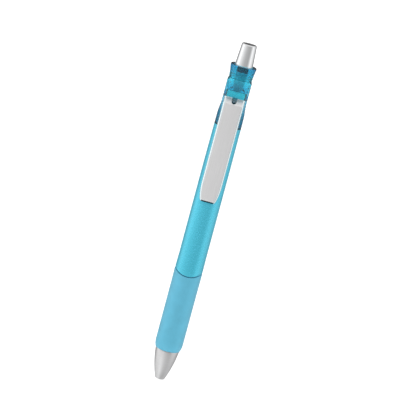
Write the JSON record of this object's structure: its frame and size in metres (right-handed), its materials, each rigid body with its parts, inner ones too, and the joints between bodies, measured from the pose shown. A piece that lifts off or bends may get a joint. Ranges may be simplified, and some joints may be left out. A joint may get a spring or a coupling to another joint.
{
  "type": "gel pen",
  "caption": "Retractable gel pen: click button, cam and refill slide in a round barrel with a soft grip, a clear head and a sprung metal clip.",
  "frame": {"origin": "centre of the nose cone's flat end, on the pen's axis", "axes": "+Z along the pen from the writing end to the button; the clip faces -Y; the point is drawn in"},
  "size_m": [0.0116, 0.0132, 0.144],
  "materials": {
    "satin_metal": "satin, fine bead blast",
    "core_plastic": "moulded, unseen under the grip",
    "grip_rubber": "soft-touch matte",
    "barrel_plastic": "gloss, slightly translucent",
    "clear_plastic": "clear tinted, polished",
    "guide_plastic": "natural, translucent",
    "clip_steel": "satin face, bright edges",
    "chrome": "polished plate",
    "plunger_plastic": "moulded",
    "rotor_plastic": "acetal",
    "spring_steel": "drawn wire",
    "tube_plastic": "extruded, translucent",
    "gel_ink": "wet gel",
    "follower_grease": "clear grease",
    "white_plastic": "moulded",
    "point_metal": "turned nickel silver",
    "carbide": "ground"
  },
  "bodies": {
    "barrel": {"nose_cone": "satin_metal", "front_barrel": "core_plastic", "grip_sleeve": "grip_rubber", "rear_barrel": "barrel_plastic", "head": "clear_plastic", "top_collar": "clear_plastic", "cam_guide": "guide_plastic", "return_spring": "spring_steel"},
    "button": {"button_cap": "chrome", "plunger": "plunger_plastic"},
    "refill": {"ink_tube": "tube_plastic", "gel_ink": "gel_ink", "ink_follower": "follower_grease", "tail_plug": "white_plastic", "tip_holder": "white_plastic", "point": "point_metal", "tip_spring": "spring_steel"},
    "rotor": {"rotor_cam": "rotor_plastic"},
    "clip": {"clip": "clip_steel"},
    "ball": {"point_ball": "carbide"}
  },
  "joints": [
    {"name": "button_press", "type": "slide", "parent": "barrel", "child": "button", "axis": [0, 0, -1], "range_m": [0, 0.0065], "stiffness_N_per_m": 250, "springref_m": -0.004},
    {"name": "refill_slide", "type": "slide", "parent": "barrel", "child": "refill", "axis": [0, 0, -1], "range_m": [0, 0.0055], "deforming": ["return_spring"]},
    {"name": "rotor_turn", "type": "hinge", "parent": "refill", "child": "rotor", "pos_m": [0, 0, 0.115], "axis": [0, 0, 1], "range_deg": [0, 22.5]},
    {"name": "clip_flex", "type": "hinge", "parent": "barrel", "child": "clip", "pos_m": [0, -0.0051, 0.1244], "axis": [-1, 0, 0], "range_deg": [0, 4], "stiffness_Nm_per_rad": 2, "springref_deg": -1.15},
    {"name": "ball_roll", "type": "hinge", "parent": "refill", "child": "ball", "pos_m": [0, 0, 0.00155], "axis": [1, 0, 0], "continuous": true}
  ],
  "couplings": [
    {"joint": "refill_slide", "follows": "button_press", "ratio": 0.84615},
    {"joint": "rotor_turn", "follows": "button_press", "rad_per_m": 60.415}
  ]
}
